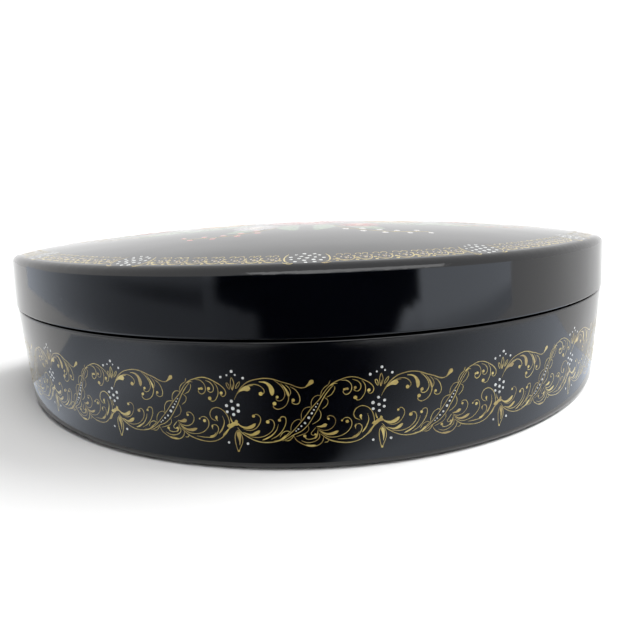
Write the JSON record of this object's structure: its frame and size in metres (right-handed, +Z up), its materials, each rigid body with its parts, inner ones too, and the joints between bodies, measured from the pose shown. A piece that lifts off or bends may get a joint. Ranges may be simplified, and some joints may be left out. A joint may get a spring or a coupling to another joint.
{
  "type": "oval lacquer box",
  "caption": "Oval papier-mache lacquer box with a domed lid on a brass back hinge, an inner collar and a red storage cavity.",
  "frame": {"origin": "middle of the footprint, on the surface the box stands on", "axes": "+X along the box, +Y towards the hinge, +Z up"},
  "size_m": [0.216, 0.1518, 0.0567],
  "materials": {
    "black_lacquer": "gloss",
    "red_lacquer": "gloss",
    "gold_paint": "satin",
    "white_paint": "gloss",
    "hinge_brass": "satin"
  },
  "bodies": {
    "base": {"base_wall": "black_lacquer", "bottom_board": "red_lacquer", "inner_collar": "red_lacquer", "hinge_base_leaf": "hinge_brass", "hinge_pin": "hinge_brass", "hinge_base_nails": "hinge_brass"},
    "lid": {"lid_wall": "black_lacquer", "lid_panel": "black_lacquer", "hinge_lid_leaf": "hinge_brass", "hinge_lid_nails": "hinge_brass"}
  },
  "joints": [
    {"name": "lid_hinge", "type": "hinge", "parent": "base", "child": "lid", "pos_m": [0, 0.0741, 0.033], "axis": [-1, 0, 0], "range_deg": [0, 95]}
  ]
}
